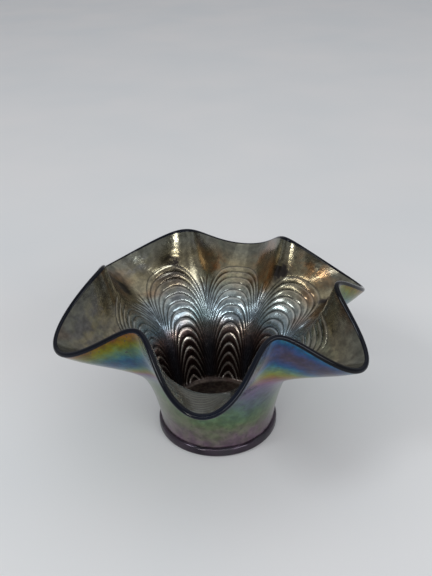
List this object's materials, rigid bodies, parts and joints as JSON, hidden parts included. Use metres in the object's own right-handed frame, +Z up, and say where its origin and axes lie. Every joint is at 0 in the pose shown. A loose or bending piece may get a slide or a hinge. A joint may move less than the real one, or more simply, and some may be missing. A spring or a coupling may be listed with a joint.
{
  "type": "ruffled glass bowl",
  "caption": "Ruffled, flared bowl of dark pressed glass with a metallic lustre, on a round collar foot, with a moulded fan pattern inside.",
  "frame": {"origin": "centre of the foot, on the surface that the bowl stands on", "axes": "+Z up along the axis of the cup, -Y towards the viewer of the view shown first, +X to that viewer's right"},
  "size_m": [0.1677, 0.174, 0.0948],
  "materials": {
    "foot_glass": "glossy dark glass under a thin purple-grey lustre",
    "outside_glass": "satin metallic lustre in bands of green, blue, violet and orange over dark glass",
    "inside_glass": "satin metallic lustre, bronze to silver-blue, over dark glass",
    "rim_glass": "polished dark cobalt glass"
  },
  "bodies": {
    "root": {"foot_ring": "foot_glass", "cup_floor": "inside_glass", "cup_wall": "outside_glass", "ruffled_flare": "inside_glass", "rim_edge": "rim_glass"}
  },
  "joints": []
}
